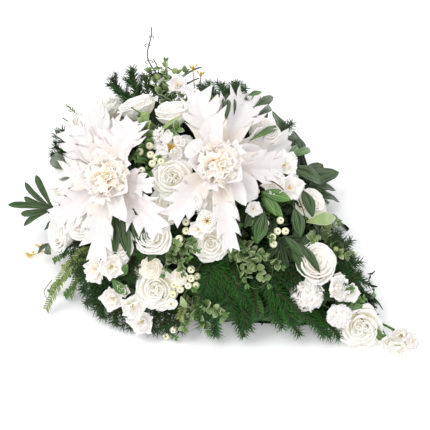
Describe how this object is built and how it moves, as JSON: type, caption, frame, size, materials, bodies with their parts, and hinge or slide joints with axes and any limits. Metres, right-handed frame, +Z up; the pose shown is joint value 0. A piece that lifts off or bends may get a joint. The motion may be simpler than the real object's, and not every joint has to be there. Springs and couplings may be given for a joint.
{
  "type": "teardrop funeral arrangement",
  "caption": "Free-standing teardrop flower arrangement on a foam mound with a long tail: large velvet blooms, roses, blossoms, berries, leaves and pine.",
  "frame": {"origin": "on the floor under the middle of the foam mound, at the centre of its flat underside", "axes": "+Z up, +X along the tail towards its tip, so the full face with the large blooms looks towards -Y"},
  "size_m": [0.8099, 0.6147, 0.3668],
  "materials": {
    "foam": "dull, open-pored",
    "petal": "soft velvet",
    "heart": "soft velvet, cream in the folds",
    "rose": "soft, slightly silky",
    "blossom": "soft, thin",
    "berry": "smooth, slightly glossy",
    "leaf": "waxed, half glossy",
    "eucalyptus": "dusty, dull",
    "fern": "dull",
    "pine": "half dull",
    "willow": "dull bark",
    "bud_twig": "dull"
  },
  "bodies": {
    "root": {"bloom_left_petals": "petal", "bloom_left_heart": "heart", "bloom_right_petals": "petal", "bloom_right_heart": "heart", "rose_centre": "rose", "rose_low": "rose", "roses_top_left": "rose", "rose_top": "rose", "rose_left": "rose", "roses_low_left": "rose", "roses_front": "rose", "rose_middle": "rose", "rose_right": "rose", "rose_far_right": "rose", "rose_top_right": "rose", "rose_tail": "rose", "roses_behind": "rose", "berries_top": "berry", "berries_right": "berry", "berries_low": "berry", "berries_middle": "berry", "blossoms_top": "blossom", "blossoms_freesia": "blossom", "blossoms_middle": "blossom", "blossoms_orchid": "blossom", "blossoms_low": "blossom", "blossoms_ranunculus": "blossom", "blossoms_right": "blossom", "blossoms_tail": "blossom", "leaves_left": "leaf", "leaves_top": "leaf", "leaves_right": "leaf", "leaves_centre": "leaf", "leaves_front": "leaf", "leaves_low": "leaf", "leaves_tail": "leaf", "twig_willow": "willow", "eucalyptus_top": "eucalyptus", "eucalyptus_middle": "eucalyptus", "eucalyptus_centre": "eucalyptus", "eucalyptus_right": "eucalyptus", "eucalyptus_far_right": "eucalyptus", "eucalyptus_low": "eucalyptus", "fern_left": "fern", "twig_yellow_top": "bud_twig", "twig_yellow_left": "bud_twig", "pine_front": "pine", "pine_tail": "pine", "pine_low_left": "pine", "pine_top_left": "pine", "pine_top_right": "pine", "pine_left": "pine", "pine_right": "pine", "pine_right_middle": "pine", "pine_right_low": "pine", "pine_behind": "pine", "laurel_behind": "leaf", "laurel_tail": "leaf", "laurel_left": "leaf", "foam_mound": "foam"}
  },
  "joints": []
}
